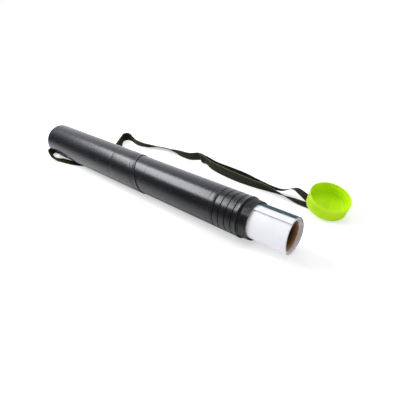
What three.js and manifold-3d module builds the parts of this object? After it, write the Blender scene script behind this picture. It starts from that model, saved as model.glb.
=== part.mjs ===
// Telescopic drawing tube holding rolled drawings, with a screw cap beside it on a shoulder strap.
// Millimetres, +Z up. Origin: centre of the closed end's face.
// +X runs along the tube's axis towards the mouth; strap and cap lie mostly on the +Y side.
import * as THREE from "three";
import { mergeVertices } from "three/addons/utils/BufferGeometryUtils.js";
import Module from "manifold-3d";

const wasm = await Module();
wasm.setup();

// ---------------------------------------------------------------- driving dimensions
const FLOOR_Z = -42.6; // the surface the strap and cap lie on

// facets round turned pieces
const SEGMENTS = 48;
const RETAINER_SEGMENTS = 24;
const ROLL_SEGMENTS = 40;

// outer tube
const OUTER_R = 41.0;
const OUTER_BORE = 39.85;
const SEAM_X = 367.5; // where the slanted lip crosses the axis
const SEAM_DY = -0.403; // slant of the lip, mm along X per mm of Y
const SEAM_DZ = -0.309; // and per mm of Z
const SEAM_BLEND = 90; // length over which the rings go from square to slanted
const SEAM_ZONE = 10; // rings nearer the seam than this take the full slant
const LIP_BEVEL_X = 1.2;
const LIP_BEVEL_R = 0.45;

// inner tube and friction ring
const INNER_R = 39.5;
const INNER_BORE = 37.7;
const INNER_REAR_X = 290; // rear end, inside the outer tube
const RING_X0 = INNER_REAR_X + 6; // groove for the friction ring
const RING_X1 = RING_X0 + 8;
const RING_GROOVE_DEPTH = 1.0;
const RING_END_GAP = 0.3;

// gaps between pieces
const JOINT_GAP = 0.3; // plug to outer tube, and inner tube to collar
const SLIDING_GAP = 0.18; // friction ring to outer tube

// collar
const COLLAR_X = 603.7; // joint between inner tube and collar
const COLLAR_SPIGOT = 16; // length inside the inner tube
const GROOVE_PITCH = 14.5;
const GROOVE_HALF_W = 0.6;
const GROOVE_DEPTH = 0.9;
const FLANGE_X = 655.6; // rear face of the cap stop
const FLANGE_T = 3.9;
const FLANGE_R = 41.0;

// screw neck
const NECK_R = 36.4; // root
const THREAD_R = 37.2; // crest of the thread ridges
const RIDGE_X = FLANGE_X + FLANGE_T + 4.4; // first ridge
const RIDGE_PITCH = 4;
const RIDGE_HALF_W = 1.2;
const MOUTH_X = 679.0; // mouth rim
const MOUTH_BEAD = 0.4; // rise of the bead behind the rim
const NECK_BORE = 35.1;

// closed end
const PLUG_T = 3.2; // thickness of the plate
const PLUG_EDGE = 2.6; // size of its rounded edge
const PLUG_EDGE_MID = 0.75; // inset of the point halfway round that edge
const PLUG_SPIGOT_R = 39.5;
const PLUG_SPIGOT_WALL = 1.8;
const PLUG_SPIGOT_X = 15;
const PLUG_RECESS_R = 17.3; // shallow round pocket for the strap bracket, below the centre
const PLUG_RECESS = 0.8;
const BASE_BRACKET_Z = -20.2;

// screw cap: local +Z is the way its opening faces, 0 at the closed face
const CAP_BASE = new THREE.Vector3(715.7, 189.3, -27.9); // centre of the closed face
const CAP_OPEN = new THREE.Vector3(0.314, -0.165, 0.935).normalize();
const CAP_H = 28.5;
const CAP_R_BASE = 41.6;
const CAP_R_RIM = 42.3;
const CAP_BORE = 38.2;
const CAP_MOUTH_R = 40.0; // wider entry at the rim
const CAP_MOUTH_DEPTH = 5.0;
const CAP_FLOOR = 2.4;
const CAP_EDGE = 1.6; // size of the rounded edge at the closed face
const CAP_EDGE_MID = 0.5;
const CAP_RIB_H = 1.8; // ring standing on the cap's floor
const CAP_RIB_FOOT_R = [33.0, 35.2];
const CAP_RIB_TOP_R = [33.4, 34.8];

// strap bracket and its push-on retainer, heights measured outwards from the closed face
const STUB_R = 3.0;
const STUB_H = 4.5;
const BRACKET_W = 31; // along the crossbar
const BRACKET_D = 13;
const BRACKET_H = 11.6;
const BRACKET_BEVEL = 1.5;
const PLATE_Z0 = 0.4;
const PLATE_Z1 = 2.4;
const WINDOW_W = 25.6;
const WINDOW_Z1 = 8.6;
const LOOP_T = 3.2; // thickness of the loop's legs and crossbar
const HOLE_R = STUB_R + 0.4;
const HOLE_LENGTH = 4.2; // length of the cutter
const HOLE_Z = 1.2; // centre of the cutter
const RETAINER_R = 5.8;
const RETAINER_BORE = STUB_R + 0.3;
const RETAINER_Z0 = PLATE_Z1 + 0.3;
const RETAINER_Z1 = STUB_H - 0.1;
const RETAINER_BEVEL_Z = 0.5;
const RETAINER_BEVEL_R = 0.8;

// webbing
const WEB_W = 24;
const WEB_T = 1.3;
const WEB_STEPS = 116; // lengths each band is divided into
const FLAT_Z = FLOOR_Z + WEB_T / 2 + 0.05; // centre of webbing lying flat
const EDGE_Z = FLOOR_Z + WEB_W / 2 + 0.3; // centre of webbing standing on its edge

// three-bar slider: X along the webbing, Y across it
const SLIDER_SIZE = [19, 30, 2.4];
const SLOT_SIZE = [5.5, 24.8, 6];
const SLOT_X = 4.05; // each slot's distance from the centre
const SLIDER_CENTRE = new THREE.Vector3(343.5, 216, EDGE_Z + 3.2);
const SLIDER_ALONG = new THREE.Vector3(0.98, -0.13, 0).normalize();
const SLIDER_ACROSS = new THREE.Vector3(0.1, -0.28, 0.95); // squared to the length when placed

// rolled drawings, radii as [inside, outside]
const ROLL_END_X = 757;
const ROLL_LENGTH = 420; // the short side of an A2 sheet
const ROLL_REAR_X = ROLL_END_X - ROLL_LENGTH;
const KRAFT_SETBACK = 5.5; // how far the kraft roll ends behind the white one
const WHITE_R = [28.2, 33.0];
const KRAFT_R = [25.0, 27.9];
const TEAL_R = [33.3, 34.2];
const TEAL_INSET = 1; // at each end
const TEAL_ARC = [-75, 91]; // degrees about the axis, from +Y towards +Z

// ---------------------------------------------------------------- materials
const material = (settings) => new THREE.MeshStandardMaterial(settings);
const BLACK_PLASTIC = material({ color: 0x1c1d20, roughness: 0.38 });
const BLACK_MOULDED = material({ color: 0x17181a, roughness: 0.45 });
const GREEN_PLASTIC = material({ color: 0x9fd600, roughness: 0.5 });
const WEBBING = material({ color: 0x24251b, roughness: 0.9 });
const RUBBER = material({ color: 0x101010, roughness: 0.85 });
const WHITE_PAPER = material({ color: 0xf2f2ee, roughness: 0.8 });
const TEAL_PAPER = material({ color: 0x1f5560, roughness: 0.7 });
const KRAFT_PAPER = material({ color: 0x9a6130, roughness: 0.85 });

// ---------------------------------------------------------------- helpers
// One closed body: merged vertices, no collapsed triangles, faces turned outwards.
function closed(geometry) {
  const bare = new THREE.BufferGeometry();
  bare.setAttribute("position", geometry.attributes.position);
  bare.setIndex(geometry.index);
  const merged = mergeVertices(bare, 1e-4);
  const { position } = merged.attributes;
  const triangles = [];
  let volume = 0; // six times the signed volume
  for (let i = 0; i < merged.index.count; i += 3) {
    const triangle = [0, 1, 2].map((k) => merged.index.getX(i + k));
    if (new Set(triangle).size < 3) continue;
    triangles.push(triangle);
    const [a, b, c] = triangle.map((n) => new THREE.Vector3().fromBufferAttribute(position, n));
    volume += a.dot(b.cross(c));
  }
  merged.setIndex(triangles.flatMap(([a, b, c]) => (volume < 0 ? [a, c, b] : [a, b, c])));
  return merged;
}

function solid(geometry) {
  const body = closed(geometry);
  return new wasm.Manifold(
    new wasm.Mesh({
      numProp: 3,
      vertProperties: new Float32Array(body.attributes.position.array),
      triVerts: new Uint32Array(body.index.array),
    }),
  );
}

function geometryOf(manifold) {
  const mesh = manifold.getMesh();
  const geometry = new THREE.BufferGeometry();
  geometry.setAttribute("position", new THREE.Float32BufferAttribute(mesh.vertProperties, 3));
  geometry.setIndex([...mesh.triVerts]);
  return geometry;
}

// A turned piece about the X axis from a profile of [x, radius] pairs.
// A profile off the axis is closed on itself.
function turned(profile, segments = SEGMENTS) {
  const points = profile.map(([x, radius]) => new THREE.Vector2(radius, x));
  if (profile[0][1] > 0) points.push(points[0].clone());
  return closed(new THREE.LatheGeometry(points, segments).rotateZ(-Math.PI / 2));
}

// The same about the Z axis, from [z, radius] pairs.
const turnedAboutZ = (profile, segments) => turned(profile, segments).rotateY(-Math.PI / 2);

// A shape drawn in (Y, Z), extruded along +X from startX.
function extrudedAlongX(shape, depth, startX) {
  const options = { depth, bevelEnabled: false, curveSegments: 24 };
  const axes = new THREE.Matrix4().makeBasis(
    new THREE.Vector3(0, 1, 0),
    new THREE.Vector3(0, 0, 1),
    new THREE.Vector3(1, 0, 0),
  );
  return new THREE.ExtrudeGeometry(shape, options).applyMatrix4(axes).translate(startX, 0, 0);
}

// Fills a path or shape with a closed polygon.
function polygon(path, points) {
  path.setFromPoints(points.map(([x, y]) => new THREE.Vector2(x, y)));
  path.closePath();
  return path;
}

// The unit direction nearest to the given one at right angles to a unit axis.
const squaredTo = (axis, direction) =>
  direction.clone().addScaledVector(axis, -direction.dot(axis)).normalize();

function part(name, geometry, material) {
  const shaded = geometry.toNonIndexed();
  shaded.computeVertexNormals();
  const mesh = new THREE.Mesh(shaded, material);
  mesh.name = name;
  return mesh;
}

// A group with its own axes; its X axis follows from Y and Z.
function placed(yAxis, zAxis, origin, ...children) {
  const frame = new THREE.Group();
  const xAxis = new THREE.Vector3().crossVectors(yAxis, zAxis);
  frame.matrixAutoUpdate = false;
  frame.matrix.makeBasis(xAxis, yAxis, zAxis).setPosition(origin);
  frame.add(...children);
  return frame;
}

// ---------------------------------------------------------------- tubes
// A thin-walled tube whose open end is cut on a slant.
function outerTube() {
  const rearX = PLUG_T + JOINT_GAP;
  const tube = turned([
    [rearX, OUTER_R],
    [SEAM_X - SEAM_BLEND, OUTER_R],
    [SEAM_X - LIP_BEVEL_X, OUTER_R],
    [SEAM_X, OUTER_R - LIP_BEVEL_R],
    [SEAM_X, OUTER_BORE],
    [SEAM_X - SEAM_BLEND, OUTER_BORE],
    [rearX, OUTER_BORE],
  ]);
  const { position } = tube.attributes;
  for (let i = 0; i < position.count; i++) {
    const x = position.getX(i);
    if (x <= SEAM_X - SEAM_ZONE) continue;
    position.setX(i, x + SEAM_DY * position.getY(i) + SEAM_DZ * position.getZ(i));
  }
  return tube;
}

function innerTube() {
  const frontX = COLLAR_X - JOINT_GAP;
  return turned([
    [INNER_REAR_X, INNER_R - 0.6],
    [INNER_REAR_X + 1, INNER_R],
    [RING_X0, INNER_R],
    [RING_X0, INNER_R - RING_GROOVE_DEPTH],
    [RING_X1, INNER_R - RING_GROOVE_DEPTH],
    [RING_X1, INNER_R],
    [frontX, INNER_R],
    [frontX, INNER_BORE],
    [INNER_REAR_X, INNER_BORE],
  ]);
}

// A ring in the inner tube's groove: it rubs on the outer tube and holds the length.
function frictionRing() {
  return tubeBetween(
    [INNER_R - 0.7, OUTER_BORE - SLIDING_GAP],
    RING_X0 + RING_END_GAP,
    RING_X1 - RING_END_GAP,
    SEGMENTS,
  );
}

// A plain tube with square ends.
function tubeBetween([inside, outside], rearX, frontX, segments) {
  return turned(
    [
      [rearX, outside],
      [frontX, outside],
      [frontX, inside],
      [rearX, inside],
    ],
    segments,
  );
}

// ---------------------------------------------------------------- closed end
// A plug with a rounded edge, a pocket with a stub for the strap bracket, and a spigot in the tube.
function basePlug() {
  const spigotBore = PLUG_SPIGOT_R - PLUG_SPIGOT_WALL;
  const plug = turned([
    [0, 0],
    [0, OUTER_R - PLUG_EDGE],
    [PLUG_EDGE_MID, OUTER_R - PLUG_EDGE_MID],
    [PLUG_EDGE, OUTER_R],
    [PLUG_T, OUTER_R],
    [PLUG_T, PLUG_SPIGOT_R],
    [PLUG_SPIGOT_X, PLUG_SPIGOT_R],
    [PLUG_SPIGOT_X, spigotBore],
    [PLUG_T, spigotBore],
    [PLUG_T, 0],
  ]);
  const disc = (radius, x0, x1) =>
    solid(
      new THREE.CylinderGeometry(radius, radius, x1 - x0, 32)
        .rotateZ(Math.PI / 2)
        .translate((x0 + x1) / 2, 0, BASE_BRACKET_Z),
    );
  const pocket = disc(PLUG_RECESS_R, -1, PLUG_RECESS);
  const stub = disc(STUB_R, PLUG_RECESS - STUB_H, PLUG_RECESS + 1);
  return geometryOf(solid(plug).subtract(pocket).add(stub));
}

// ---------------------------------------------------------------- strap bracket
// A plate with a hole for the stub, and a loop with a crossbar standing on it.
// Local frame: +Z outwards from the closed face, Y along the crossbar.
function bracket() {
  const half = BRACKET_W / 2;
  const halfWindow = WINDOW_W / 2;
  const outline = polygon(new THREE.Shape(), [
    [-half, PLATE_Z0],
    [half, PLATE_Z0],
    [half, BRACKET_H - BRACKET_BEVEL],
    [half - BRACKET_BEVEL, BRACKET_H],
    [BRACKET_BEVEL - half, BRACKET_H],
    [-half, BRACKET_H - BRACKET_BEVEL],
  ]);
  const window = polygon(new THREE.Path(), [
    [-halfWindow, PLATE_Z1],
    [-halfWindow, WINDOW_Z1],
    [halfWindow, WINDOW_Z1],
    [halfWindow, PLATE_Z1],
  ]);
  outline.holes.push(window);
  const loop = extrudedAlongX(outline, LOOP_T, -LOOP_T / 2);
  const plate = new THREE.BoxGeometry(BRACKET_D, BRACKET_W, PLATE_Z1 - PLATE_Z0);
  plate.translate(0, 0, (PLATE_Z0 + PLATE_Z1) / 2);
  const hole = new THREE.CylinderGeometry(HOLE_R, HOLE_R, HOLE_LENGTH, 24);
  hole.rotateX(Math.PI / 2).translate(0, 0, HOLE_Z);
  return geometryOf(solid(loop).add(solid(plate)).subtract(solid(hole)));
}

// Push-on retainer that holds the bracket on the stub.
function retainer() {
  return turnedAboutZ(
    [
      [RETAINER_Z0, RETAINER_BORE],
      [RETAINER_Z0, RETAINER_R],
      [RETAINER_Z1 - RETAINER_BEVEL_Z, RETAINER_R],
      [RETAINER_Z1, RETAINER_R - RETAINER_BEVEL_R],
      [RETAINER_Z1, RETAINER_BORE],
    ],
    RETAINER_SEGMENTS,
  );
}

const bracketParts = (prefix) => [
  part(`${prefix}_bracket`, bracket(), BLACK_MOULDED),
  part(`${prefix}_retainer`, retainer(), BLACK_MOULDED),
];

// On the closed end, outwards is -X and the crossbar runs along Y.
function baseBracket() {
  return placed(
    new THREE.Vector3(0, 1, 0),
    new THREE.Vector3(-1, 0, 0),
    new THREE.Vector3(PLUG_RECESS, 0, BASE_BRACKET_Z),
    ...bracketParts("base"),
  );
}

// ---------------------------------------------------------------- collar
// Spigot in the inner tube, grooved barrel, cap stop, and a neck with ring-shaped thread ridges.
function neckCollar() {
  const rearX = COLLAR_X - COLLAR_SPIGOT;
  const spigotR = INNER_BORE - 0.3;
  const flangeFrontX = FLANGE_X + FLANGE_T;
  const groove = (x) => [
    [x - GROOVE_HALF_W, INNER_R],
    [x - GROOVE_HALF_W, INNER_R - GROOVE_DEPTH],
    [x + GROOVE_HALF_W, INNER_R - GROOVE_DEPTH],
    [x + GROOVE_HALF_W, INNER_R],
  ];
  const ridge = (x) => [
    [x - RIDGE_HALF_W, NECK_R],
    [x, THREAD_R],
    [x + RIDGE_HALF_W, NECK_R],
  ];
  return turned([
    [rearX, spigotR],
    [COLLAR_X, spigotR],
    [COLLAR_X, INNER_R - 0.5],
    [COLLAR_X + 0.6, INNER_R],
    ...[1, 2, 3].flatMap((i) => groove(COLLAR_X + i * GROOVE_PITCH)),
    [FLANGE_X, INNER_R],
    [FLANGE_X, FLANGE_R],
    [flangeFrontX, FLANGE_R],
    [flangeFrontX, NECK_R],
    ...[0, 1, 2].flatMap((i) => ridge(RIDGE_X + i * RIDGE_PITCH)),
    [MOUTH_X - 2.6, NECK_R],
    [MOUTH_X - 2.2, NECK_R + MOUTH_BEAD],
    [MOUTH_X - 0.5, NECK_R + MOUTH_BEAD],
    [MOUTH_X, NECK_R - 0.2],
    [MOUTH_X, NECK_BORE],
    [rearX, NECK_BORE],
  ]);
}

// ---------------------------------------------------------------- screw cap
function capShell() {
  const entryZ = CAP_H - CAP_MOUTH_DEPTH;
  const ribTopZ = CAP_FLOOR + CAP_RIB_H;
  return turnedAboutZ([
    // stub and closed face
    [-STUB_H, 0],
    [-STUB_H, STUB_R],
    [0, STUB_R],
    [0, CAP_R_BASE - CAP_EDGE],
    [CAP_EDGE_MID, CAP_R_BASE - CAP_EDGE_MID],
    [CAP_EDGE, CAP_R_BASE],
    // rim
    [CAP_H - 2.4, CAP_R_RIM - 0.1],
    [CAP_H - 0.5, CAP_R_RIM],
    [CAP_H, CAP_R_RIM - 0.6],
    [CAP_H, CAP_MOUTH_R],
    // inside
    [entryZ, CAP_MOUTH_R],
    [entryZ - 1, CAP_BORE],
    [CAP_FLOOR, CAP_BORE],
    [CAP_FLOOR, CAP_RIB_FOOT_R[1]],
    [ribTopZ, CAP_RIB_TOP_R[1]],
    [ribTopZ, CAP_RIB_TOP_R[0]],
    [CAP_FLOOR, CAP_RIB_FOOT_R[0]],
    [CAP_FLOOR, 0],
  ]);
}

// The direction of the crossbar on the cap's bracket.
const CAP_BAR_DIR = squaredTo(CAP_OPEN, new THREE.Vector3(0, 1, 0));

function screwCap() {
  const shell = part("cap_shell", capShell(), GREEN_PLASTIC);
  const back = new THREE.Group();
  back.rotation.x = Math.PI; // the bracket's +Z points out of the closed face
  back.add(...bracketParts("cap"));
  return placed(CAP_BAR_DIR, CAP_OPEN, CAP_BASE, shell, back);
}

// ---------------------------------------------------------------- webbing
// A flat band along a curve. Each row: centre x, y, z, then the direction of its width.
function webbing(rows) {
  const centres = rows.map(([x, y, z]) => new THREE.Vector3(x, y, z));
  const widths = rows.map((row) => new THREE.Vector3(...row.slice(3)));
  const centreCurve = new THREE.CatmullRomCurve3(centres, false, "centripetal");
  const widthCurve = new THREE.CatmullRomCurve3(widths, false, "catmullrom", 0.5);
  // the section's corners, as sides of the width and of the thickness
  const corners = [[1, 1], [-1, 1], [-1, -1], [1, -1]];
  const position = [];
  for (let i = 0; i <= WEB_STEPS; i++) {
    const along = i / WEB_STEPS;
    const centre = centreCurve.getPoint(along);
    const tangent = centreCurve.getTangent(along);
    const across = squaredTo(tangent, widthCurve.getPoint(along));
    const normal = new THREE.Vector3().crossVectors(tangent, across);
    for (const [widthSide, faceSide] of corners) {
      const corner = centre
        .clone()
        .addScaledVector(across, (widthSide * WEB_W) / 2)
        .addScaledVector(normal, (faceSide * WEB_T) / 2);
      position.push(...corner);
    }
  }
  const index = [];
  for (let i = 0; i < WEB_STEPS; i++)
    for (let k = 0; k < 4; k++) {
      const a = 4 * i + k;
      const b = 4 * i + ((k + 1) % 4);
      // the broad faces are split along the same diagonal, so a twist never brings them together
      if (k === 2) index.push(a, b, a + 4, b, b + 4, a + 4);
      else index.push(a, b, b + 4, a, b + 4, a + 4);
    }
  const end = 4 * WEB_STEPS;
  index.push(0, 2, 1, 0, 3, 2);
  index.push(end, end + 1, end + 2, end, end + 2, end + 3);
  const band = new THREE.BufferGeometry();
  band.setAttribute("position", new THREE.Float32BufferAttribute(position, 3));
  band.setIndex(index);
  return closed(band);
}

// From the closed end's bracket, round the -Y side to the floor, under the tube,
// out on the +Y side and along to the slider.
const STRAP_MAIN = [
  [-9.3, 0, BASE_BRACKET_Z - 3.4, 0, 1, 0],
  [-10.6, -0.4, BASE_BRACKET_Z - 6.4, 0, 1, 0],
  [-12.8, -3, BASE_BRACKET_Z - 10.6, -0.05, 1, -0.05],
  [-15.5, -10, -33.4, -0.3, 0.88, -0.36],
  [-15, -20.5, -33.4, -0.42, 0.68, -0.6],
  [-8.5, -31.5, -32.8, -0.25, 0.62, -0.74],
  [4, -38, -32.9, 0, 0.64, -0.77],
  [18, -41, -34.4, 0.1, 0.75, -0.63],
  [32, -40, -37.6, 0.17, 0.9, -0.38],
  [50, -31, FLAT_Z + 0.6, 0.3, 0.95, -0.05],
  [72, -25, FLAT_Z, 0.1, 1, 0],
  [100, -16, FLAT_Z, -0.35, 0.93, 0],
  [124, 0, FLAT_Z, -0.7, 0.7, 0],
  [134, 35, FLAT_Z, -1, 0.05, 0],
  [118, 85, FLAT_Z + 2.2, -0.85, -0.4, 0.3],
  [98, 115, EDGE_Z - 5, -0.6, -0.3, 0.75],
  [74, 145, EDGE_Z - 1, -0.35, -0.15, 0.93],
  [48, 172, EDGE_Z, -0.1, 0, 1],
  [34, 190, EDGE_Z, -0.05, 0, 1],
  [36, 203, EDGE_Z, 0, -0.05, 1],
  [52, 203, EDGE_Z, 0, -0.12, 1],
  [76, 194, EDGE_Z, 0, -0.25, 0.97],
  [107, 187, EDGE_Z - 1, 0.1, -0.45, 0.88],
  [135, 193, EDGE_Z - 3, 0.2, -0.65, 0.73],
  [161, 211, EDGE_Z - 5.5, 0.36, -0.8, 0.48],
  [192, 221, EDGE_Z - 6, 0.38, -0.8, 0.47],
  [224, 218, EDGE_Z - 5, 0.3, -0.75, 0.58],
  [263, 211, EDGE_Z - 2, 0.1, -0.45, 0.88],
  [303, 210.5, EDGE_Z, 0.05, -0.3, 0.95],
  [331, 217, EDGE_Z + 1, 0.1, -0.3, 0.95],
];

// A row beside the crossbar of the cap's bracket, offset from the bar's centre.
function aroundBar(dx, dz) {
  const bar = CAP_BASE.clone().addScaledVector(CAP_OPEN, -(WINDOW_Z1 + BRACKET_H) / 2);
  return [bar.x + dx, bar.y, bar.z + dz, ...CAP_BAR_DIR.clone().negate()];
}

// Doubled webbing from the slider to the cap, round the crossbar and back.
const STRAP_LOOP = [
  [356, 213, EDGE_Z, 0.05, -0.25, 0.97],
  [405, 197, EDGE_Z, 0, -0.12, 0.99],
  [452, 188.5, EDGE_Z, 0, -0.1, 0.99],
  [492, 184, EDGE_Z, 0, -0.15, 0.98],
  [537, 184, EDGE_Z - 1, 0, -0.35, 0.93],
  [575, 187, EDGE_Z - 4, 0, -0.7, 0.7],
  [612, 190, FLAT_Z + 3.5, 0, -0.93, 0.36],
  [650, 191, FLAT_Z + 1.0, 0, -1, 0.05],
  [690, 191, FLAT_Z + 1.1, -0.04, -0.99, -0.07],
  aroundBar(-8, -3.5),
  aroundBar(0, -3.3),
  aroundBar(3.6, 0),
  aroundBar(0, 3.4),
  aroundBar(-10, 4.6),
  [680, 192, -30, 0, -1, 0],
  [657, 196, -20.5, 0, -1, 0.05],
  [637, 199, -16.5, 0.05, -0.97, 0.2],
  [614, 199, -22, 0.15, -0.88, 0.45],
  [583, 197, EDGE_Z - 1, 0.05, -0.72, 0.68],
  [541, 194.5, EDGE_Z, 0, -0.35, 0.93],
  [500, 200.5, EDGE_Z, 0, -0.15, 0.98],
  [450, 205, EDGE_Z, 0, -0.12, 0.99],
  [400, 208, EDGE_Z, 0, -0.12, 0.99],
  [356, 219, EDGE_Z, 0.05, -0.25, 0.97],
];

// A plate with two slots.
function strapSlider() {
  const block = (size, x) => solid(new THREE.BoxGeometry(...size).translate(x, 0, 0));
  const plate = block(SLIDER_SIZE, 0)
    .subtract(block(SLOT_SIZE, -SLOT_X))
    .subtract(block(SLOT_SIZE, SLOT_X));
  const across = squaredTo(SLIDER_ALONG, SLIDER_ACROSS);
  const normal = new THREE.Vector3().crossVectors(SLIDER_ALONG, across);
  const slider = part("strap_slider", geometryOf(plate), BLACK_MOULDED);
  return placed(across, normal, SLIDER_CENTRE, slider);
}

// ---------------------------------------------------------------- rolled drawings
const roll = (radii, frontX) => tubeBetween(radii, ROLL_REAR_X, frontX, ROLL_SEGMENTS);

// An outer sheet round the +Y side of the rolls, from the underside to just past the top.
function tealSheet() {
  const [from, to] = TEAL_ARC.map(THREE.MathUtils.degToRad);
  const section = new THREE.Shape();
  section.absarc(0, 0, TEAL_R[1], from, to, false);
  section.absarc(0, 0, TEAL_R[0], to, from, true);
  section.closePath();
  const length = ROLL_LENGTH - 2 * TEAL_INSET;
  return closed(extrudedAlongX(section, length, ROLL_REAR_X + TEAL_INSET));
}

// ---------------------------------------------------------------- assembly
const group = new THREE.Group();
group.add(
  part("outer_tube", outerTube(), BLACK_PLASTIC),
  part("base_plug", basePlug(), BLACK_MOULDED),
  baseBracket(),
  part("inner_tube", innerTube(), BLACK_PLASTIC),
  part("friction_ring", frictionRing(), RUBBER),
  part("neck_collar", neckCollar(), BLACK_MOULDED),
  screwCap(),
  part("strap_main", webbing(STRAP_MAIN), WEBBING),
  part("strap_loop", webbing(STRAP_LOOP), WEBBING),
  strapSlider(),
  part("white_roll", roll(WHITE_R, ROLL_END_X), WHITE_PAPER),
  part("kraft_roll", roll(KRAFT_R, ROLL_END_X - KRAFT_SETBACK), KRAFT_PAPER),
  part("teal_sheet", tealSheet(), TEAL_PAPER),
);

export default group;
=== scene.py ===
"""Telescopic drawing tube with a screw cap, a webbing strap and rolled sheets in its mouth.

The tube's axis is the X axis: the closed end is at x = 0 and the open mouth at high X.
The floor lies below it, the camera looks in from +X and -Y (the front), and the strap and
the cap lie on the floor behind, at +Y. Shapes are worked out in millimetres and stored in
metres; materials, lights and camera are in metres.
"""
import math

import bmesh
import bpy
import numpy as np
from mathutils import Matrix, Vector


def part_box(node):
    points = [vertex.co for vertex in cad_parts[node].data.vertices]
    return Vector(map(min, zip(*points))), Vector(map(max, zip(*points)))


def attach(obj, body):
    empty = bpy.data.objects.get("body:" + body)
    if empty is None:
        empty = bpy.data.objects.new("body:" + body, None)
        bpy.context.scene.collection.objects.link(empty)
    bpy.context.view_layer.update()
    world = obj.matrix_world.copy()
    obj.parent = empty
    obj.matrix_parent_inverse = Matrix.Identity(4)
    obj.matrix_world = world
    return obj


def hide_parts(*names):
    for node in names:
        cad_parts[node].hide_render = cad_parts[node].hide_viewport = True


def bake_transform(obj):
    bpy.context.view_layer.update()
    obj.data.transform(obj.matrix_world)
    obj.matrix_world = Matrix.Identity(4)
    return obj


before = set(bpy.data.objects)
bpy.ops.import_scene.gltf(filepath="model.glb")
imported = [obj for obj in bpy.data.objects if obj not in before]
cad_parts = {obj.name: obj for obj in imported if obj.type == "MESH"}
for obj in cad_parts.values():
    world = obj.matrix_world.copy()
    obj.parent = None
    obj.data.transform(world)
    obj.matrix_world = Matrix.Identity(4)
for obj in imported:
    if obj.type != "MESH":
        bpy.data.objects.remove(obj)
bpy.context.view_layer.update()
scene = bpy.context.scene
MM = 0.001
TAU = 2 * math.pi


# ------------------------------------------------------------------ driving sizes, mm
def box_mm(node):
    low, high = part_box(node)
    return np.array(low) / MM, np.array(high) / MM


outer_low, outer_high = box_mm("outer_tube")
inner_low, inner_high = box_mm("inner_tube")
roll_low, roll_high = box_mm("white_roll")

OUTER_START, OUTER_R = outer_low[0], outer_high[1]
INNER_START, INNER_R = inner_low[0], inner_high[1]
OUTER_BORE = INNER_R + 0.35
INNER_BORE = INNER_R - 1.8
PLUG_END = box_mm("base_plug")[1][0]
ROLL_START, ROLL_END = roll_low[0], roll_high[0]

SEAM_X = 367.5  # lip of the outer tube, where the inner one comes out
SEAM_TILT_Y, SEAM_TILT_Z = -0.403, -0.309  # how far the lip moves in X per mm of Y and Z

COLLAR_X = inner_high[0] + 0.3
MOUTH_X = box_mm("neck_collar")[1][0]
FLANGE_X = MOUTH_X - 23.4
RIB_PITCH = 14.5  # spacing of the collar's grooves
NECK_R = 36.4
NECK_BORE = 35.1

STUB_Z = -20.2  # height of the stub on the closed end
BASE_MOUNT = (0.8, 0, STUB_Z)
CROSSBAR_HEIGHT = 10.1  # of a strap bracket, above its plate's seat

CAP_BASE = np.array([715.7, 189.3, -27.9])
CAP_OPEN = np.array([0.314, -0.165, 0.935])  # from the cap's closed face to its opening
CAP_OPEN /= np.linalg.norm(CAP_OPEN)
BAR_DIR = np.array([0, 1.0, 0]) - CAP_OPEN[1] * CAP_OPEN  # the cap bracket's crossbar
BAR_DIR /= np.linalg.norm(BAR_DIR)

FLOOR_Z = -42.6
WEB_WIDTH = 24.0
WEB_THICK = 1.3
FLAT_Z = FLOOR_Z + WEB_THICK / 2 + 0.05  # centre of webbing lying flat
EDGE_Z = FLOOR_Z + WEB_WIDTH / 2 + 0.3  # centre of webbing standing on its edge


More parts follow.
